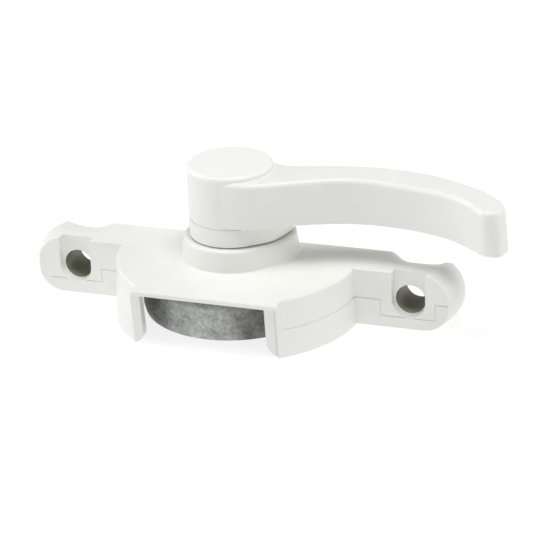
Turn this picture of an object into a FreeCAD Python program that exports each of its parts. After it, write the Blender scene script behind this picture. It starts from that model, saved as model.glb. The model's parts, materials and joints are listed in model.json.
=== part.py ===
import FreeCAD, Part
import math
import os
from FreeCAD import Vector

# Crescent lock for a sliding window, in millimetres.
# While it is modelled, x = 0 is midway between the screw holes, y = 0 the spindle's axis
# and z = 0 the top face of the plate. +X is the way the lever points, +Y is the
# window's face and -Y is the room. export() then moves every piece, so that the
# finished origin is midway between the two screw holes on the mounting face.

# ---- driving dimensions -------------------------------------------------------
hole_pitch = 77.0
hole_radius = 3.3
hole_z = -6.75
slot_radius = 3.7
slot_z = -6.5
slot_depth = 2.1
# The dips over the screws: (distance from the screw towards the ear's end, height).
right_dip = [(-7.0, 0), (-5.6, -0.45), (-4.2, -1.6), (-3.0, -2.05), (0, -2.15), (3.0, -2.05),
             (5.0, -1.6), (7.6, -1.3)]
left_dip = [(-6.0, 0), (-4.0, -0.7), (-2.4, -1.2), (-0.8, -1.55), (0.6, -1.62), (2.4, -1.5),
            (3.6, -1.3), (5.2, -0.8), (7.0, -0.5)]
dip_start_y = 2.5
body_half_length = 49.2
body_height = 12.9
mount_face_y = 8.6
ear_front_y = -2.1
ear_top_radius = 6.2
# Upright slices of an ear: y, how far its end is drawn in, radius of its lower corner.
ear_slices = [(ear_front_y, 1.9, 5.6), (0, 0.9, 5.9), (3.5, 0, 6.3), (mount_face_y, 1.2, 6.4)]
spindle_x = -1.45
plate_x = -0.45

plate_thickness = 1.15
plate_radius = 26.7
skirt_foot_radius = 27.4
skirt_inner_radius = 24.4
plate_front_y = -23.8
leg_front_y = -23.5
front_corner_x = 16.4
front_corner_radius = 0.5
mouth_left_x = -14.3
mouth_right_x = 13.4
leg_thickness = 1.7
leg_slope = 0.10
leg_recess = 0.35
leg_corner_left = 2.4
leg_pocket_end = -17
leg_corner_right = 3.6
edge_radius = 0.5

boss_radius = 11.4
boss_height = 4.9
boss_draft = 0.7
boss_lobe_radius = 9.3
boss_lobe = Vector(4.8, 2.3, 0)
boss_shoulder = 0.7
boss_foot_radius = 0.3
inner_boss_radius = 8.0
inner_boss_depth = 2.05

bore_radius = 5.2
flange_radius = 7.0
flange_thickness = 0.5
journal_radius = 4.0
running_gap = 0.05

hub_radius = 9.4
ring_bottom = boss_height + 0.35
lever_bottom = 9.5
lever_top = 20.2
lever_edge_radius = 1.0
lever_foot_radius = 0.8
lever_root_radius = hub_radius - 0.05
lever_leave_angle = 48
# Each row is a point of the outline at the top face (x, y), and how far the foot of
# the side lies from it (dx, dy).
lever_front = [(6.5, -9.2, 0, 0.4), (11.6, -7.3, 0, 1.2), (19, -3.7, 0, 0.8), (25, -1.3, 0, 0.3),
               (31, -0.7, 0, 0.5), (38.5, -1.7, 0, 1.2), (46, -3.3, 0, 1.0), (51.5, -5.4, 0, 0.3),
               (55, -8.2, 0, 0.5)]
lever_tip = [(57.3, -10.8, 0, 1.2), (59.4, -11.3, 0.2, 1.1), (61.2, -10.2, 0.5, 0.5), (61.9, -7.6, 0.6, 0.2),
             (61.1, -5.3, 0.9, 0.5)]
lever_back = [(55.5, 0.3, 0, 0), (45, 5.6, 0, 0), (31.5, 7.6, 0, 0), (22, 6.5, 0, 0), (14, 4.6, 0, 0)]
tip_in = Vector(0.74, -0.67, 0)
tip_out = Vector(-0.5, 0.86, 0)
cap_height = 1.1
# The drop that the ring is drawn out to: its front side, its nose and its back side.
drop_foot = [(10.4, -3.1), (12.5, 3.2), (11.5, 5.0)]
drop_head = [(11.4, -5.3), (15.6, 0.8), (13.2, 4.9)]
ring_leave_angle = 50
cap_edge_radius = 0.7
well_radius = 5.2

square = 5.6
square_socket = 5.7
screw_radius = 1.98
tapped_radius = 2.0
head_radius = 3.5
head_height = 2.2
washer_thickness = 0.8

cam_radius = 20.3
cam_top = -1.6
cam_bottom = -11.6
cam_taper_height = 1.5
cam_taper = 0.35
cam_hollow_radius = 17.3
cam_hollow_shift = 0.9
web_radius = 18.8
web_top = -5.4
web_bottom = -7.2
cam_hub_radius = 7.0
cam_hub_bottom = -8.0
cam_end_angle = 8.0

stop_plate_top = -4.3
stop_plate_thickness = 1.0
stop_tab_width = 4.0
stop_tab_radius = 11.3
stop_pin_radius = 1.3
stop_pin_circle = 9.4
stop_pin_top = 1.0

seam_width = 0.3
seam_depth = 0.16
skirt_seam_depth = 0.10
crease_depth = 0.25

seam_step_in = 6.2
seam_step_out = 5.9
parting_z = -6.6
low_parting_z = -10.3
left_low_parting_z = -9.7
plate_bottom = -plate_thickness
inner_boss_bottom = plate_bottom - inner_boss_depth
socket_top = 15.2
seat_top = 17.0
UP = Vector(0, 0, 1)
ACROSS = Vector(0, 1, 0)


# ---- helpers ------------------------------------------------------------------
def rod(radius, bottom, top):
    return Part.makeCylinder(radius, top - bottom, Vector(0, 0, bottom))


def tube(outer, inner, bottom, top):
    return rod(outer, bottom, top).cut(rod(inner, bottom, top))


def block(x0, x1, y0, y1, z0, z1):
    return Part.makeBox(x1 - x0, y1 - y0, z1 - z0, Vector(x0, y0, z0))


def square_rod(width, bottom, top):
    half = width / 2
    return block(-half, half, -half, half, bottom, top)


def prism(edges, bottom, top):
    face = Part.Face(Part.Wire(edges))
    face.translate(Vector(0, 0, bottom))
    return face.extrude(Vector(0, 0, top - bottom))


def line(a, b):
    return Part.LineSegment(a, b).toShape()


def arc(a, middle, b):
    return Part.Arc(a, middle, b).toShape()


def curve(points, start_tangent, end_tangent):
    spline = Part.BSplineCurve()
    spline.interpolate(Points=points, InitialTangent=start_tangent, FinalTangent=end_tangent)
    return spline.toShape()


def on_circle(radius, angle, z=0.0):
    a = math.radians(angle)
    return Vector(radius * math.cos(a), radius * math.sin(a), z)


def rounded(shape, radius, wanted):
    return shape.makeFillet(radius, [e for e in shape.Edges if wanted(e)])


def at_height(edge, z):
    box = edge.BoundBox
    return abs(box.ZMin - z) < 1e-3 and abs(box.ZMax - z) < 1e-3


def mirrored(shape):
    return shape.mirror(Vector(0, 0, 0), Vector(1, 0, 0))


def shifted(shape, x):
    moved = shape.copy()
    moved.translate(Vector(x, 0, 0))
    return moved


def to_spindle(shape):
    return shifted(shape, spindle_x)


# ---- housing ------------------------------------------------------------------
def body_outline(radius, z):
    """Plan of the plate: a D with an arc each side and a straight front."""
    side_y = -math.sqrt(radius**2 - front_corner_x**2)
    ear_x = math.sqrt(radius**2 - ear_front_y**2)
    middle = on_circle(radius, -40, z)
    front = Vector(front_corner_x, plate_front_y, z)
    side = Vector(front_corner_x, side_y, z)
    ear = Vector(ear_x, ear_front_y, z)
    back = Vector(ear_x, mount_face_y, z)
    half = [front, side, ear, back]
    other = [Vector(-p.x, p.y, z) for p in half]
    return Part.Wire([
        line(other[0], front),
        line(front, side),
        arc(side, middle, ear),
        line(ear, back),
        line(back, other[3]),
        line(other[3], other[2]),
        arc(other[2], Vector(-middle.x, middle.y, z), other[1]),
        line(other[1], other[0]),
    ])


def body_shell():
    """Plate and curved skirts, open below, at the mouth and at the back."""
    outer = Part.makeLoft([body_outline(plate_radius, 0), body_outline(skirt_foot_radius, -body_height)],
                          True, True)
    outer = rounded(outer, front_corner_radius, is_front_corner)
    outer = rounded(outer, edge_radius, lambda e: at_height(e, 0) and e.BoundBox.YMin < ear_front_y - 1)
    below = -body_height - 1
    inside = rod(skirt_inner_radius, below, plate_bottom)
    rear = block(-skirt_inner_radius, skirt_inner_radius, 0, mount_face_y + 1, below, plate_bottom)
    mouth = block(mouth_left_x, mouth_right_x, plate_front_y - 1, 0, below, plate_bottom)
    shell = outer.cut(inside).cut(rear).cut(mouth).cut(leg_pocket())
    for space in leg_faces():
        shell = shell.cut(space)
    shell = shell.cut(leg_corner_cut(mouth_left_x, leg_corner_left, -1))
    return shifted(shell.cut(leg_corner_cut(mouth_right_x, leg_corner_right, 1)), plate_x)


def leg_faces():
    """The space in front of both legs, with the right one's sunken face and its groove."""
    edge_x = front_corner_x - front_corner_radius
    sunken_y = leg_front_y + leg_recess
    groove_y = sunken_y + crease_depth
    groove_z = plate_bottom - seam_width
    top_groove = block(mouth_right_x, edge_x, plate_front_y, groove_y, groove_z, plate_bottom)
    return [ahead_of(leg_front_y, -plate_radius, plate_radius), ahead_of(sunken_y, 0, edge_x),
            ahead_of(groove_y, edge_x - seam_width, edge_x), top_groove]


def leg_pocket():
    """The hollow behind the legs, which leaves them as thin walls."""
    half = front_corner_x - front_corner_radius - 0.3
    hollow = block(-half, half, plate_front_y, leg_pocket_end, -body_height - 1, plate_bottom)
    return hollow.cut(ahead_of(leg_front_y + leg_recess + leg_thickness, -plate_radius, plate_radius))


def ahead_of(y, x0, x1):
    """The space in front of the legs' sloping face, which starts at y under the plate."""
    drop = body_height + 1
    foot_y = y + leg_slope * drop
    corners = [Vector(x0, plate_front_y - 2, plate_bottom), Vector(x0, y, plate_bottom),
               Vector(x0, foot_y, plate_bottom - drop), Vector(x0, plate_front_y - 2, plate_bottom - drop)]
    side = Part.Face(Part.Wire([line(a, b) for a, b in zip(corners, corners[1:] + corners[:1])]))
    return side.extrude(Vector(x1 - x0, 0, 0))


def is_front_corner(edge):
    return edge.BoundBox.ZLength > 5 and edge.BoundBox.YMax < plate_front_y + 0.5


def leg_corner_cut(edge_x, radius, side):
    """What rounds the inner lower corner of a leg; side is 1 for the right leg."""
    x = edge_x + side * radius
    z = -body_height + radius
    x0, x1 = min(edge_x - side, x), max(edge_x - side, x)
    corner = block(x0, x1, plate_front_y, leg_pocket_end, -body_height - 1, z)
    keep = Part.makeCylinder(radius, 10, Vector(x, plate_front_y, z), ACROSS)
    return corner.cut(keep)


def ear_section(y, end_x, low):
    """Upright slice of an ear, with a rounded outer corner above and one of radius low below."""
    top, inner_x, foot = ear_top_radius, skirt_inner_radius, -body_height
    slant = math.sqrt(0.5)
    return Part.Wire([
        line(Vector(inner_x, y, 0), Vector(end_x - top, y, 0)),
        arc(Vector(end_x - top, y, 0), Vector(end_x - top + top * slant, y, -top + top * slant),
            Vector(end_x, y, -top)),
        line(Vector(end_x, y, -top), Vector(end_x, y, foot + low)),
        arc(Vector(end_x, y, foot + low), Vector(end_x - low + low * slant, y, foot + low - low * slant),
            Vector(end_x - low, y, foot)),
        line(Vector(end_x - low, y, foot), Vector(inner_x, y, foot)),
        line(Vector(inner_x, y, foot), Vector(inner_x, y, 0)),
    ])


def ear(dip):
    """The right screw ear, with a round end that swells behind its front face."""
    sections = [ear_section(y, body_half_length - inset, low) for y, inset, low in ear_slices]
    solid = Part.makeLoft(sections, True, False)
    return solid.cut(screw_cut(hole_pitch / 2)).cut(back_dip(dip))


def screw_cut(x):
    """The round screw hole, and the shallow U in front of it that is open at the top."""
    front = ear_front_y - 1
    back = ear_front_y + slot_depth
    length = mount_face_y - front + 1
    hole = Part.makeCylinder(hole_radius, length, Vector(x, front, hole_z), ACROSS)
    pocket = Part.makeCylinder(slot_radius, back - front, Vector(x, front, slot_z), ACROSS)
    channel = block(x - slot_radius, x + slot_radius, front, back, slot_z, 1)
    return hole.fuse(pocket).fuse(channel)


def dip_section(y, dip, share):
    """Outline of a dip at one y, with its depths multiplied by share."""
    points = [Vector(hole_pitch / 2 + x, y, z * share) for x, z in dip]
    first, last = points[0], points[-1]
    over_first, over_last = Vector(first.x, y, 1), Vector(last.x, y, 1)
    level = Vector(1, 0, 0)
    return Part.Wire([curve(points, level, level), line(last, over_last),
                      line(over_last, over_first), line(over_first, first)])


def back_dip(dip):
    """A hollow over the screw that gets deeper towards the back edge."""
    sections = [dip_section(dip_start_y, dip, 0.01), dip_section(mount_face_y, dip, 1)]
    return Part.makeLoft(sections, True, True)


def boss_outline(inset, z):
    """A round with a lobe towards the lever."""
    radius, lobe_radius = boss_radius - inset, boss_lobe_radius - inset
    heading = math.degrees(math.atan2(boss_lobe.y, boss_lobe.x))
    lean = math.degrees(math.acos((radius - lobe_radius) / boss_lobe.Length))
    left_big, right_big = on_circle(radius, heading + lean, z), on_circle(radius, heading - lean, z)
    left_small = boss_lobe + on_circle(lobe_radius, heading + lean, z)
    right_small = boss_lobe + on_circle(lobe_radius, heading - lean, z)
    return Part.Wire([
        line(left_small, left_big),
        arc(left_big, on_circle(radius, heading + 180, z), right_big),
        line(right_big, right_small),
        arc(right_small, boss_lobe + on_circle(lobe_radius, heading, z), left_small),
    ])


def boss():
    """The raised seat under the handle, with slightly drafted walls."""
    solid = Part.makeLoft([boss_outline(0, 0), boss_outline(boss_draft, boss_height)], True, True)
    solid = to_spindle(rounded(solid, boss_shoulder, lambda e: at_height(e, boss_height)))
    return solid.common(block(-30, 30, -30, mount_face_y, -1, boss_height))


def bearing_cut():
    """Bore for the two bushes, with a seat for each flange."""
    bore = rod(bore_radius, inner_boss_bottom - 1, boss_height + 1)
    upper = rod(flange_radius, boss_height - flange_thickness, boss_height + 1)
    lower = rod(flange_radius, inner_boss_bottom - 1, inner_boss_bottom + flange_thickness)
    return to_spindle(bore.fuse(upper).fuse(lower))


def ear_seams(low, steps_back):
    """The mould's parting line across the right ear: it steps down under the screw hole."""
    half = seam_width / 2
    inner = hole_pitch / 2 - seam_step_in
    outer = hole_pitch / 2 + seam_step_out
    start, end = skirt_inner_radius, body_half_length
    lines = [(start, inner + half, parting_z, parting_z), (inner - half, inner + half, low, parting_z),
             (inner - half, outer + half, low, low)]
    if steps_back:
        lines += [(outer - half, outer + half, low, parting_z), (outer - half, end, parting_z, parting_z)]
    front, back = ear_front_y - 1, ear_front_y + seam_depth
    return [block(x0, x1, front, back, z0 - half, z1 + half) for x0, x1, z0, z1 in lines]


def skirt_seam():
    """The same parting line, much fainter, on the right skirt."""
    radius = (plate_radius + skirt_foot_radius) / 2
    half = seam_width / 2
    ring = tube(radius + 2, radius - skirt_seam_depth, parting_z - half, parting_z + half)
    return shifted(ring.common(block(0, 30, leg_front_y + 2.5, ear_front_y - 0.3, -body_height, 0)), plate_x)


def stop_pin_places():
    """Where the two stop pins stand: the tab meets one at each end of its half turn."""
    reach = stop_tab_width / 2 + stop_pin_radius + running_gap
    aside = math.degrees(math.asin(reach / stop_pin_circle))
    return [on_circle(stop_pin_circle, aside), on_circle(stop_pin_circle, 180 - aside)]


def stop_pin_rods(top):
    bottom = stop_plate_top - stop_plate_thickness + 0.1
    rods = []
    for place in stop_pin_places():
        pin = rod(stop_pin_radius, bottom, top)
        pin.translate(place)
        rods.append(to_spindle(pin))
    return rods


def housing():
    shell = body_shell()
    for part in (ear(right_dip), mirrored(ear(left_dip))):
        shell = shell.fuse(part)
    shell = shell.fuse(boss())
    shell = shell.fuse(to_spindle(rod(inner_boss_radius, inner_boss_bottom, plate_bottom)))
    shell = rounded(shell, boss_foot_radius, lambda e: at_height(e, 0) and is_boss_foot(e))
    shell = shell.cut(bearing_cut()).cut(skirt_seam())
    left_seams = [mirrored(seam) for seam in ear_seams(left_low_parting_z, False)]
    for seam in ear_seams(low_parting_z, True) + left_seams:
        shell = shell.cut(seam)
    for pin in stop_pin_rods(stop_pin_top):
        shell = shell.cut(pin)
    return shell


def is_boss_foot(edge):
    box = edge.BoundBox
    return box.XMin > -20 and box.XMax < 20 and box.YMin > -15 and box.YMax < mount_face_y - 0.5


# ---- handle -------------------------------------------------------------------
def lever_edges(z):
    """Front, tip and back of the lever at one height; its sides lean by each point's draft."""
    share = (lever_top - z) / (lever_top - lever_bottom)
    front_points, tip_points, back_points = [
        [Vector(x + share * dx, y + share * dy, z) for x, y, dx, dy in rows]
        for rows in (lever_front, lever_tip, lever_back)]
    start = on_circle(lever_root_radius, -90, z)
    end = on_circle(lever_root_radius, lever_leave_angle, z)
    leave = math.radians(lever_leave_angle)
    first, last = tip_points[0], tip_points[-1]
    front = curve([start] + front_points + [first], Vector(1, 0, 0), tip_in)
    tip = curve(tip_points, tip_in, tip_out)
    back = curve([last] + back_points + [end], tip_out, Vector(-math.sin(leave), math.cos(leave), 0))
    return [front, tip, back]


def lever_blank(bottom, top):
    """A slice of the lever between two heights; it ends in a chord inside the hub."""
    wires = []
    for z in (bottom, top):
        back_end = on_circle(lever_root_radius, lever_leave_angle, z)
        chord = line(back_end, on_circle(lever_root_radius, -90, z))
        wires.append(Part.Wire(lever_edges(z) + [chord]))
    return Part.makeLoft(wires, True, True)


def handle_blank():
    """Hub and lever to their full height, before the seats inside are cut."""
    lever = lever_blank(lever_bottom, lever_top)
    for z, radius in ((lever_top, lever_edge_radius), (lever_bottom, lever_foot_radius)):
        lever = rounded(lever, radius, lambda e: at_height(e, z) and is_lever_side(e))
    hub = rod(hub_radius, lever_bottom, lever_top)
    return hub.fuse(lever).fuse(ring()).removeSplitter()


def is_lever_side(edge):
    return edge.BoundBox.XMax > hub_radius


def ring_outline(drop, radius, z):
    """The round of the hub, drawn out through the three points of a drop."""
    share = radius / hub_radius
    side, nose, other_side = [Vector(x * share, y * share, z) for x, y in drop]
    start = on_circle(radius, -ring_leave_angle, z)
    end = on_circle(radius, ring_leave_angle, z)
    front = curve([start, side, nose], Vector(0.77, 0.64, 0), Vector(0.25, 0.97, 0))
    back = curve([nose, other_side, end], Vector(-0.4, 0.9, 0), Vector(-0.77, 0.64, 0))
    return [front, back, arc(end, on_circle(radius, 180, z), start)]


def ring():
    """The lower ring of the hub, which flares into a drop under the lever's root."""
    foot = Part.Wire(ring_outline(drop_foot, hub_radius, ring_bottom))
    head = Part.Wire(ring_outline(drop_head, hub_radius, lever_bottom))
    seam_foot = lever_bottom - seam_width
    core = prism(ring_outline(drop_head, hub_radius - seam_depth, 0), seam_foot, lever_bottom)
    seam = rod(cam_radius, seam_foot, lever_bottom).cut(core)
    return Part.makeLoft([foot, head], True, True).cut(seam)


def handle():
    blank = handle_blank()
    socket = square_rod(square_socket, ring_bottom - 1, socket_top)
    screw_way = rod(screw_radius + 0.27, socket_top - 1, seat_top + 1)
    well = rod(well_radius, seat_top, lever_top + 1)
    return to_spindle(blank.cut(socket).cut(screw_way).cut(well))


def hub_cap():
    """A blank push-in cap over the handle screw."""
    top = lever_top + cap_height
    disc = rounded(rod(hub_radius, lever_top, top), cap_edge_radius, lambda e: at_height(e, top))
    plug = tube(well_radius - running_gap, 3.9, lever_top - 1.6, lever_top)
    return to_spindle(disc.fuse(plug).removeSplitter())


# ---- spindle and its bearings ---------------------------------------------------
def spindle():
    """Round journal with a square end for the handle and one for the cam."""
    journal = rod(journal_radius, stop_plate_top, ring_bottom)
    top = square_rod(square, ring_bottom, socket_top - 0.2)
    bottom = square_rod(square, cam_hub_bottom + 0.2, stop_plate_top)
    shaft = journal.fuse(top).fuse(bottom)
    upper_tap = rod(tapped_radius, 7.5, socket_top)
    lower_tap = rod(tapped_radius, cam_hub_bottom, -1)
    return to_spindle(shaft.cut(upper_tap).cut(lower_tap))


def flanged_bush(flange_bottom, sleeve_bottom, sleeve_top):
    sleeve = rod(bore_radius, sleeve_bottom, sleeve_top)
    flange = rod(flange_radius, flange_bottom, flange_bottom + flange_thickness)
    way = rod(journal_radius + running_gap, sleeve_bottom - 1, sleeve_top + 1)
    return to_spindle(sleeve.fuse(flange).cut(way))


def upper_bush():
    return flanged_bush(boss_height - flange_thickness, 1.2, boss_height)


def lower_bush():
    return flanged_bush(inner_boss_bottom, inner_boss_bottom, 0.6)


def thrust_washer():
    return to_spindle(tube(8.8, journal_radius + 0.2, boss_height, ring_bottom - running_gap))


# ---- fasteners and washers -----------------------------------------------------
def screw(head_bottom, shank_end, head_up):
    """Cheese-head screw with a cross recess in its head."""
    head_end = head_bottom + head_height if head_up else head_bottom - head_height
    low, high = min(head_bottom, head_end), max(head_bottom, head_end)
    head = rounded(rod(head_radius, low, high), 0.4, lambda e: at_height(e, head_end))
    shank = rod(screw_radius, min(head_bottom, shank_end), max(head_bottom, shank_end))
    recess_low = head_end - 1.2 if head_up else head_end
    bar = block(-2.1, 2.1, -0.45, 0.45, recess_low, recess_low + 1.2)
    other_bar = block(-0.45, 0.45, -2.1, 2.1, recess_low, recess_low + 1.2)
    return to_spindle(head.fuse(shank).cut(bar).cut(other_bar).removeSplitter())


def split_washer(bottom):
    """Spring lock washer with its slanted gap."""
    washer = tube(3.6, screw_radius + 0.2, bottom, bottom + washer_thickness)
    gap = block(0, 5, -0.35, 0.35, bottom - 1, bottom + washer_thickness + 1)
    gap.rotate(Vector(0, 0, bottom + washer_thickness / 2), Vector(1, 0, 0), 25)
    return to_spindle(washer.cut(gap))


def handle_screw():
    return screw(seat_top + washer_thickness, 8.5, True)


def cam_screw():
    return screw(cam_hub_bottom - 2 * washer_thickness, -2, False)


def cam_washer():
    return to_spindle(tube(6.5, screw_radius + 0.2, cam_hub_bottom - washer_thickness, cam_hub_bottom))


def curved_washer():
    """Spring washer bowed about one axis: it gives the lever its drag."""
    outer, inner, thickness, bow = 7.4, journal_radius + 0.3, 0.4, 0.6
    top = inner_boss_bottom - running_gap
    bend = (outer**2 + bow**2) / (2 * bow)
    centre = Vector(0, -10, top - bend)
    band = Part.makeCylinder(bend, 20, centre, ACROSS)
    band = band.cut(Part.makeCylinder(bend - thickness, 20, centre, ACROSS))
    return to_spindle(tube(outer, inner, top - 2, top).common(band))


def stop_plate():
    """Square-holed washer with the tab that ends the half turn."""
    bottom = stop_plate_top - stop_plate_thickness
    half = stop_tab_width / 2
    disc = rod(7.9, bottom, stop_plate_top)
    tab = block(0, stop_tab_radius, -half, half, bottom, stop_plate_top)
    tab = rounded(tab, 0.8, lambda e: e.BoundBox.ZLength > 0.9 and e.BoundBox.XMin > 1)
    plate = disc.fuse(tab).removeSplitter()
    return to_spindle(plate.cut(square_rod(square_socket, bottom - 1, stop_plate_top + 1)))


# ---- cam ----------------------------------------------------------------------
def sector(radius, bottom, top):
    """Half-round slice on the room side, between the two ends of the cam."""
    start = on_circle(radius, -180 + cam_end_angle)
    end = on_circle(radius, -cam_end_angle)
    centre = Vector(0, 0, 0)
    outline = [line(centre, start), arc(start, on_circle(radius, -90), end), line(end, centre)]
    return prism(outline, bottom, top)


def cam_rim():
    """Rim of the crescent: its inside is off centre, so it draws the keeper in."""
    inside = cam_hollow_radius - 4
    points = [
        Vector(inside, 0, cam_top),
        Vector(cam_radius - 0.3, 0, cam_top),
        Vector(cam_radius, 0, cam_top - 0.3),
        Vector(cam_radius, 0, cam_bottom + cam_taper_height),
        Vector(cam_radius - cam_taper, 0, cam_bottom),
        Vector(inside, 0, cam_bottom),
    ]
    sides = [line(a, b) for a, b in zip(points, points[1:] + points[:1])]
    round_rim = Part.Face(Part.Wire(sides)).revolve(Vector(0, 0, 0), UP, 360)
    hollow = shifted(rod(cam_hollow_radius, cam_bottom - 1, cam_top + 1), -cam_hollow_shift)
    rim = round_rim.cut(hollow).common(sector(cam_radius + 5, cam_bottom, cam_top))
    return rounded(rim, 0.8, is_rim_end)


def is_rim_end(edge):
    return edge.BoundBox.ZLength > 5 and edge.BoundBox.YMin > -4


def cam():
    web = sector(web_radius, web_bottom, web_top)
    hub = rod(cam_hub_radius, cam_hub_bottom, web_top)
    solid = cam_rim().fuse(web).fuse(hub).removeSplitter()
    return to_spindle(solid.cut(square_rod(square_socket, cam_hub_bottom - 1, web_top + 1)))


# ---- export -------------------------------------------------------------------
def export(name, shapes):
    piece = shapes[0] if len(shapes) == 1 else Part.makeCompound(shapes)
    piece.translate(Vector(0, -mount_face_y, -hole_z))
    piece.exportStep(f"parts/{name}.step")
    state = "valid" if piece.isValid() else "INVALID"
    print(name, len(piece.Solids), "solid(s)", round(piece.Volume, 1), "mm3", state)


os.makedirs("parts", exist_ok=True)
export("housing", [housing()])
export("handle", [handle()])
export("hub_cap", [hub_cap()])
export("spindle", [spindle()])
export("upper_bush", [upper_bush()])
export("lower_bush", [lower_bush()])
export("thrust_washer", [thrust_washer()])
export("handle_screw", [handle_screw()])
export("handle_lock_washer", [split_washer(seat_top)])
export("curved_washer", [curved_washer()])
export("stop_plate", [stop_plate()])
export("stop_pins", stop_pin_rods(stop_pin_top))
export("cam", [cam()])
export("cam_washer", [cam_washer()])
export("cam_lock_washer", [split_washer(cam_hub_bottom - 2 * washer_thickness)])
export("cam_screw", [cam_screw()])
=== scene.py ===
# %% [markdown]
# # A crescent window lock
# This script dresses a small die-cast lock for a sliding window. The real thing is a
# white powder-coated body with two screw ears, a curved lever on a round hub, and a
# half-round cam of bare grey zinc under the plate. Every solid part comes ready made
# from the CAD frame, so the work here is light, finish and the small marks that a
# mould leaves. Lengths are in metres, +Z is up and the lever points to +X.

# %% Load the frame
import json
import math

import bmesh
import bpy
from mathutils import Matrix, Vector


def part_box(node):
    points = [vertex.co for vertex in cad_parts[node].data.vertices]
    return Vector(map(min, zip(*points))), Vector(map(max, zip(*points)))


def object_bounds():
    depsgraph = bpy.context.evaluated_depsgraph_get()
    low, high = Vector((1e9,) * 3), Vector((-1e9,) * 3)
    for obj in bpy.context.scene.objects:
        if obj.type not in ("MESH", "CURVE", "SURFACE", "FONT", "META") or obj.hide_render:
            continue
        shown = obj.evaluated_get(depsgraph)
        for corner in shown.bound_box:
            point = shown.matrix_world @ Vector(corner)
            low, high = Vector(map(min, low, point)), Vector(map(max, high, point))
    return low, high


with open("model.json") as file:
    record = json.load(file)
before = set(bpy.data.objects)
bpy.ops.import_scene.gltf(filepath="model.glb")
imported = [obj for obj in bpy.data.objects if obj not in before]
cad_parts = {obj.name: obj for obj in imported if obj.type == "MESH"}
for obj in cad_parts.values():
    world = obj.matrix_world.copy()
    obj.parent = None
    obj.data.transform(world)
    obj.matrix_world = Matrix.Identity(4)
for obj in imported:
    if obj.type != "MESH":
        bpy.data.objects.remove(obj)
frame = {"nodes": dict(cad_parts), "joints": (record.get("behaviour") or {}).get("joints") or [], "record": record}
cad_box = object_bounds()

MM = 0.001
nodes = frame["nodes"]
print("CAD pieces:", sorted(nodes))
print("CAD box in mm:", [[round(v / MM, 1) for v in corner] for corner in cad_box])

# %% [markdown]
# ## The camera
# A product shot of something this small is taken from far away with a long lens, so
# that parallel edges stay nearly parallel. The camera stands half a metre off, a little
# round to the right and above, and leans by a few degrees. Its three axes are worked
# out as vectors, because that says plainly which way is right, up and back. Aiming it
# just beside the hub frames the whole lever without any lens shift.

# %% Camera
CAMERA_ROUND = math.radians(20.0)
CAMERA_ABOVE = math.radians(24.4)
CAMERA_LEAN = math.radians(2.6)
CAMERA_AWAY = 0.5
CAMERA_LENS = 154.3
AIM_RIGHT, AIM_UP = 7.13 * MM, -3.13 * MM

spindle = next(j for j in frame["joints"] if j["name"] == "lever_turn")
hub = Vector(spindle["pos_m"])
BOSS_HEIGHT = 4.9 * MM
plate_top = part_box("housing")[1][2] - BOSS_HEIGHT
hub_on_plate = Vector((hub.x, hub.y, plate_top))

back = Vector((
    math.sin(CAMERA_ROUND) * math.cos(CAMERA_ABOVE),
    -math.cos(CAMERA_ROUND) * math.cos(CAMERA_ABOVE),
    math.sin(CAMERA_ABOVE),
))
level_right = Vector((math.cos(CAMERA_ROUND), math.sin(CAMERA_ROUND), 0))
level_up = back.cross(level_right)
right = level_right * math.cos(CAMERA_LEAN) - level_up * math.sin(CAMERA_LEAN)
up = level_right * math.sin(CAMERA_LEAN) + level_up * math.cos(CAMERA_LEAN)

eye = hub_on_plate + back * CAMERA_AWAY
aim = hub_on_plate + right * AIM_RIGHT + up * AIM_UP
camera_z = (eye - aim).normalized()
camera_x = up.cross(camera_z).normalized()
camera_y = camera_z.cross(camera_x)

camera_data = bpy.data.cameras.new("camera")
camera_data.lens = CAMERA_LENS
camera_data.clip_start = 10 * MM
camera = bpy.data.objects.new("camera", camera_data)
turn = Matrix((camera_x, camera_y, camera_z)).transposed()
camera.matrix_world = Matrix.Translation(eye) @ turn.to_4x4()
bpy.context.collection.objects.link(camera)
bpy.context.scene.camera = camera
print("camera stands at", [round(v, 3) for v in eye])

# %% [markdown]
# ## Shader maths in plain Python
# A finish is a sum of small patterns. Written as nodes by hand, each plus and times
# takes four lines, so one small class wraps a node's output and turns Python's
# operators into Math nodes. The reflected forms let `1 - mask` work too. Colours are
# mixed by a Mix node, because a Math node would turn them grey.

# %% Wrapper for values, and a material under construction
class Value:
    """One output socket, with the arithmetic that the finishes need."""

    def __init__(self, finish, socket):
        self.finish = finish
        self.socket = socket

    def math(self, operation, first, second):
        return self.finish.node("ShaderNodeMath", {"operation": operation}, {0: first, 1: second})

    def __add__(self, other):
        return self.math("ADD", self, other)

    def __radd__(self, other):
        return self.math("ADD", other, self)

    def __sub__(self, other):
        return self.math("SUBTRACT", self, other)

    def __rsub__(self, other):
        return self.math("SUBTRACT", other, self)

    def __mul__(self, other):
        return self.math("MULTIPLY", self, other)

    def __rmul__(self, other):
        return self.math("MULTIPLY", other, self)


class Finish:
    """A material with one Principled shader, and one method that adds any other node."""

    def __init__(self, name, **constants):
        self.material = bpy.data.materials.new(name)
        self.material.use_nodes = True
        self.tree = self.material.node_tree
        self.shader = self.tree.nodes["Principled BSDF"]
        for socket, value in constants.items():
            self.shader.inputs[socket.replace("_", " ")].default_value = value
        self.place = self.node("ShaderNodeTexCoord", output="Object")

    def node(self, kind, settings=None, inputs=None, output=0):
        made = self.tree.nodes.new(kind)
        for key, value in (settings or {}).items():
            setattr(made, key, value)
        for key, value in (inputs or {}).items():
            self.feed(made.inputs[key], value)
        return Value(self, made.outputs[output])

    def feed(self, socket, value):
        if isinstance(value, Value):
            self.tree.links.new(value.socket, socket)
        else:
            socket.default_value = value

    def set(self, socket, value):
        self.feed(self.shader.inputs[socket], value)


print("shader helpers are ready")

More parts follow.
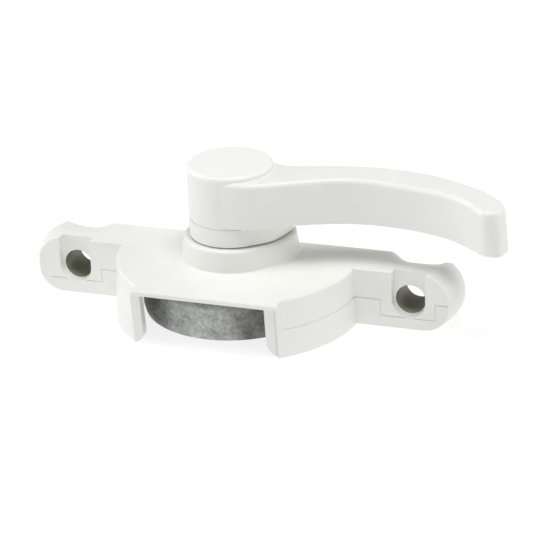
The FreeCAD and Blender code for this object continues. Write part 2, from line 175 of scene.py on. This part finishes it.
# %% [markdown]
# ## Patterns
# Every finish here is built from the same few patterns: cloudy noise, a step that
# spreads its values, a mix of two colours, and a bump. Noise sizes are given in metres,
# so a grain can be thought of as so many tenths of a millimetre. The patterns read the
# object's own coordinates, so they stay on a piece when it turns.

# %% Patterns that several finishes share
def noise(finish, size, detail=2.0, roughness=0.5, place=None):
    """Cloudy pattern from 0 to 1 whose blobs are about `size` metres across."""
    inputs = {"Vector": place or finish.place, "Scale": 1 / size, "Detail": detail, "Roughness": roughness}
    return finish.node("ShaderNodeTexNoise", {}, inputs)


def stretch(finish, factors):
    """The object's coordinates, squeezed by a different amount along each axis."""
    return finish.node("ShaderNodeMapping", {}, {"Vector": finish.place, "Scale": factors})


def contrast(finish, value, low, high):
    """Spreads the values between low and high over the whole of 0 to 1."""
    inputs = {"Value": value, "From Min": low, "From Max": high}
    return finish.node("ShaderNodeMapRange", {"clamp": True}, inputs)


def with_alpha(colour):
    return (*colour, 1) if isinstance(colour, tuple) else colour


def mix_colours(finish, factor, first, second, blend="MIX"):
    settings = {"data_type": "RGBA", "blend_type": blend}
    inputs = {0: factor, 6: with_alpha(first), 7: with_alpha(second)}
    return finish.node("ShaderNodeMix", settings, inputs, output=2)


def split(finish):
    """The object's x and z as two values."""
    axes = finish.node("ShaderNodeSeparateXYZ", {}, {0: finish.place}).socket.node
    return Value(finish, axes.outputs["X"]), Value(finish, axes.outputs["Z"])


def size_of(finish, value):
    """The value without its sign."""
    return finish.node("ShaderNodeMath", {"operation": "ABSOLUTE"}, {0: value})


def bumped(finish, height, depth, normal=None):
    """A Bump node: `height` runs from 0 to 1 and `depth` is its real size in metres."""
    inputs = {"Height": height, "Distance": depth, "Strength": 1.0}
    if normal:
        inputs["Normal"] = normal
    return finish.node("ShaderNodeBump", {}, inputs)


print("patterns: noise, stretch, contrast, mix_colours, split, size_of, bumped")

# %% [markdown]
# ## Painted shade in the screw holes
# The walls of the two screw holes get painted shade: a dark olive grey, far darker than
# the coat round them, stands in for the shadow inside the holes. They belong to the same
# casting, so a mask finds them instead of a second material: it compares each point's
# distance from a hole's axis with the hole's radius, which comes from the lock's own
# record of its mounts.

# %% Mask of the hole walls
WALL_SKIN = 0.05 * MM
screws = next(m for m in frame["record"]["mounts"] if m["name"] == "screw_holes")
HOLE_X = screws["dims"]["spacing_x_mm"] / 2 * MM
HOLE_WALL = screws["dims"]["hole_r_mm"] * MM + WALL_SKIN


def painted_hole_shade(finish):
    """Painted shade mask: 1 on the walls of the two screw holes, which run along Y, and 0 elsewhere."""
    x, z = split(finish)
    from_hole = size_of(finish, x) - HOLE_X
    squared = from_hole * from_hole + z * z
    return finish.node("ShaderNodeMath", {"operation": "LESS_THAN"}, {0: squared, 1: HOLE_WALL**2})


print("screw holes at x =", round(HOLE_X / MM, 2), "mm, radius", screws["dims"]["hole_r_mm"], "mm")

# %% [markdown]
# ## White powder coat
# The body and the lever are die-cast zinc under a baked white powder. Such a coat is
# not mirror flat: the powder melts into a gentle orange peel of hills about a
# millimetre across and a few thousandths high, with finer grain on top. Its white
# leans a little to green-grey, and it varies slightly where the coat is thicker. The
# hills go into a Bump node and the thickness into the colour and the gloss.

# %% Powder coat
PEEL_SIZE = 0.9 * MM
PEEL_DEPTH = 0.006 * MM
GRAIN_SIZE = 0.22 * MM
GRAIN_DEPTH = 0.0015 * MM
THICKNESS_SIZE = 9 * MM
# Painted shade: the dark colour that stands in for the shadow inside the screw holes.
HOLE_SHADE_COLOUR = (0.27, 0.265, 0.20)
COAT_LIGHT = (0.868, 0.874, 0.838)
COAT_SHADE = (0.845, 0.852, 0.814)


def powder_coat(name, light, shade):
    coat = Finish(name, Specular_IOR_Level=0.5, Coat_Roughness=0.25)
    clouds = noise(coat, THICKNESS_SIZE, detail=3)
    thickness = contrast(coat, clouds, 0.3, 0.7)
    peel = noise(coat, PEEL_SIZE, detail=1)
    grain = noise(coat, GRAIN_SIZE, detail=2)
    white = mix_colours(coat, thickness, shade, light)
    # The walls of the screw holes get painted shade.
    coat.set("Base Color", mix_colours(coat, painted_hole_shade(coat), white, HOLE_SHADE_COLOUR))
    coat.set("Roughness", 0.36 + thickness * 0.06 + grain * 0.08)
    hills = bumped(coat, peel, PEEL_DEPTH)
    coat.set("Normal", bumped(coat, grain, GRAIN_DEPTH, hills))
    return coat.material


white_coat = powder_coat("white_powder_coat", COAT_LIGHT, COAT_SHADE)
print("made", white_coat.name)

# %% [markdown]
# ## The cap's plastic
# The cap on the hub is a separate moulding. Injection-moulded plastic is smoother than
# powder coat: its colour is even, and a fine spark-eroded grain from the mould dulls it.

# %% Cap plastic
CAP_LIGHT = (0.908, 0.914, 0.880)
CAP_SHADE = (0.895, 0.902, 0.866)
SPARK_SIZE = 0.16 * MM
SPARK_DEPTH = 0.002 * MM


def moulded_white(name):
    plastic = Finish(name, Specular_IOR_Level=0.45)
    clouds = noise(plastic, 14 * MM, detail=2)
    grain = noise(plastic, SPARK_SIZE, detail=3)
    plastic.set("Base Color", mix_colours(plastic, clouds, CAP_SHADE, CAP_LIGHT))
    plastic.set("Roughness", 0.40 + grain * 0.10)
    plastic.set("Normal", bumped(plastic, grain, SPARK_DEPTH))
    return plastic.material


cap_white = moulded_white("moulded_white")
print("made", cap_white.name)

# %% [markdown]
# ## Bare cast zinc
# The cam is left uncoated. Zinc fresh from the die is dull grey with a mottled skin:
# dark blotches a few millimetres wide where the metal met the colder die, lighter
# freckles, and fine pits. The three scales are mixed, and the lighter places are also
# the smoother ones. On top of that comes painted light: the middle of the rim, which
# faces the lamps, is painted brighter than its two ends, which get painted shade, and
# a band along the top of the rim gets a painted shadow of the plate above it.

# %% Cast zinc
ZINC_DARK = (0.26, 0.268, 0.26)
ZINC_LIGHT = (0.64, 0.65, 0.635)
# Painted shade and painted light: the rim's ends and top are multiplied darker, and its middle keeps its colour.
RIM_PAINTED_SHADE = (0.42, 0.42, 0.42)
RIM_PAINTED_LIGHT = (1.0, 1.0, 1.0)
FRECKLE_DEPTH = 0.02 * MM
PIT_DEPTH = 0.012 * MM
# Where the painted light band sits on the rim, and where the plate's painted shadow starts at its top.
PATCH_CENTRE = hub.x + 0.5 * MM
PATCH_HALF = 6.0 * MM
PATCH_END = 11.0 * MM
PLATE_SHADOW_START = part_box("cam")[1][2] - 1.5 * MM
PLATE_SHADOW_FADE = 1.5 * MM
WANDER = 4 * MM


def painted_light_band(finish):
    """Painted light: 1 on the middle of the rim, where it faces the lamps, fading to 0 at its ends and into a
    painted shadow of the plate at its top.
    """
    x, z = split(finish)
    wander = noise(finish, 3 * MM) * WANDER
    off = size_of(finish, x + wander - PATCH_CENTRE)
    # Painted shadow of the plate along the top of the rim.
    outside_plate_shadow = 1 - contrast(finish, z, PLATE_SHADOW_START - PLATE_SHADOW_FADE, PLATE_SHADOW_START)
    return (1 - contrast(finish, off, PATCH_HALF, PATCH_END)) * outside_plate_shadow


def cast_zinc(name):
    zinc = Finish(name, Specular_IOR_Level=0.4)
    blotches = contrast(zinc, noise(zinc, 4.5 * MM, detail=4, roughness=0.65), 0.33, 0.68)
    freckles = contrast(zinc, noise(zinc, 0.8 * MM, detail=3, roughness=0.6), 0.4, 0.7)
    pits = contrast(zinc, noise(zinc, 0.25 * MM, detail=2), 0.25, 0.45)
    tone = blotches * 0.62 + freckles * 0.38
    mottled = mix_colours(zinc, tone, ZINC_DARK, ZINC_LIGHT)
    # Painted light in the middle of the rim, and painted shade at its ends and under the plate.
    rim_light_and_shade = mix_colours(zinc, painted_light_band(zinc), RIM_PAINTED_SHADE, RIM_PAINTED_LIGHT)
    zinc.set("Base Color", mix_colours(zinc, 1.0, mottled, rim_light_and_shade, blend="MULTIPLY"))
    zinc.set("Metallic", 0.45 + blotches * 0.2)
    zinc.set("Roughness", 0.62 - freckles * 0.14)
    skin = bumped(zinc, freckles, FRECKLE_DEPTH)
    zinc.set("Normal", bumped(zinc, pits, PIT_DEPTH, skin))
    return zinc.material


zinc_skin = cast_zinc("bare_cast_zinc")
print("made", zinc_skin.name)

# %% [markdown]
# ## Steel and bearing plastic
# The spindle, screws and washers are zinc-plated steel: a bright skin with a cloudy
# tint and hair-fine marks. The bushes and the thin washer under the hub are grey
# acetal, a waxy plastic.

# %% Plated steel and acetal
STEEL_DARK, STEEL_LIGHT = (0.50, 0.51, 0.53), (0.66, 0.66, 0.65)
ACETAL_DARK, ACETAL_LIGHT = (0.10, 0.10, 0.10), (0.15, 0.15, 0.145)


def plated_steel(name):
    steel = Finish(name, Metallic=1.0)
    clouds = noise(steel, 2.5 * MM, detail=3)
    hair = noise(steel, 0.12 * MM, detail=1, place=stretch(steel, (1, 1, 12)))
    steel.set("Base Color", mix_colours(steel, clouds, STEEL_DARK, STEEL_LIGHT))
    steel.set("Roughness", 0.26 + hair * 0.16)
    steel.set("Normal", bumped(steel, hair, 0.002 * MM))
    return steel.material


def acetal(name):
    plastic = Finish(name, Specular_IOR_Level=0.4)
    clouds = noise(plastic, 1.5 * MM, detail=2)
    plastic.set("Base Color", mix_colours(plastic, clouds, ACETAL_DARK, ACETAL_LIGHT))
    plastic.set("Roughness", 0.42 + clouds * 0.12)
    plastic.set("Normal", bumped(plastic, clouds, 0.004 * MM))
    return plastic.material


steel_skin = plated_steel("zinc_plated_steel")
dark_acetal = acetal("dark_acetal")
print("made", steel_skin.name, dark_acetal.name)

# %% [markdown]
# ## Dress the CAD pieces
# Each CAD piece keeps its mesh. Only the material in its slots changes.

# %% Assign the finishes
FINISHES = {
    white_coat: ["housing", "handle"],
    cap_white: ["hub_cap"],
    zinc_skin: ["cam"],
    dark_acetal: ["upper_bush", "lower_bush", "thrust_washer"],
    steel_skin: ["spindle", "handle_screw", "handle_lock_washer", "curved_washer", "stop_plate",
                 "stop_pins", "cam_screw", "cam_washer", "cam_lock_washer"],
}
for finish, names in FINISHES.items():
    for name in names:
        for slot in nodes[name].material_slots:
            slot.material = finish
undressed = set(nodes) - {name for names in FINISHES.values() for name in names}
print("pieces without a finish:", sorted(undressed))

# %% [markdown]
# ## The floor
# The floor is a sheet of white paper on a light table. It glows, so the lock leaves
# only a faint shadow on it. It lies a little below the lock's lowest face, because two
# faces in exactly the same plane would flicker into each other.

# %% Floor
FLOOR_Z = cad_box[0][2] - 0.3 * MM
FLOOR_HALF = 3.0
PAPER_GLOW = 0.80
PAPER_DARK, PAPER_LIGHT = (0.24, 0.24, 0.24), (0.26, 0.26, 0.26)


def make_floor():
    paper = Finish("paper", Specular_IOR_Level=0.1, Roughness=0.9, Emission_Strength=PAPER_GLOW)
    paper.set("Emission Color", (1, 1, 1, 1))
    fibres = noise(paper, 1.2 * MM, detail=3)
    paper.set("Base Color", mix_colours(paper, fibres, PAPER_DARK, PAPER_LIGHT))
    sheet = bmesh.new()
    bmesh.ops.create_grid(sheet, x_segments=1, y_segments=1, size=FLOOR_HALF)
    bmesh.ops.translate(sheet, verts=sheet.verts, vec=(0, 0, FLOOR_Z))
    mesh = bpy.data.meshes.new("floor")
    sheet.to_mesh(mesh)
    sheet.free()
    mesh.materials.append(paper.material)
    floor = bpy.data.objects.new("floor", mesh)
    bpy.context.collection.objects.link(floor)
    return floor


floor = make_floor()
print("floor at", round(FLOOR_Z / MM, 2), "mm")

# %% [markdown]
# ## The light
# White on white needs very soft light. An even sky fills the shadows, one wide lamp
# overhead lifts the upper faces, and two at the sides model the round walls. The left
# one is the stronger, which leaves the faces towards the camera the darkest.

# %% Lamps and sky
SKY_STRENGTH = 0.335
# Each lamp's diameter in metres, its power in watts and where it stands.
LAMPS = {
    "overhead": (0.5, 5.2, (0.12, -0.15, 0.88)),
    "left_fill": (0.7, 5.0, (-1.10, -0.22, 0.30)),
    "right_fill": (0.7, 2.3, (1.10, 0.35, 0.30)),
}


def soft_lamp(name, size, power, place):
    lamp_data = bpy.data.lights.new(name, "AREA")
    lamp_data.shape = "DISK"
    lamp_data.size = size
    lamp_data.energy = power
    lamp = bpy.data.objects.new(name, lamp_data)
    to_the_lock = -Vector(place)
    aimed = to_the_lock.to_track_quat("-Z", "Y").to_matrix().to_4x4()
    lamp.matrix_world = Matrix.Translation(place) @ aimed
    bpy.context.collection.objects.link(lamp)


for name, (size, power, place) in LAMPS.items():
    soft_lamp(name, size, power, place)
world = bpy.data.worlds.new("sky")
world.use_nodes = True
sky = world.node_tree.nodes["Background"]
sky.inputs["Color"].default_value = (1, 1, 1, 1)
sky.inputs["Strength"].default_value = SKY_STRENGTH
bpy.context.scene.world = world
bpy.context.scene.view_settings.view_transform = "Standard"
print(len(LAMPS), "lamps and an even sky")
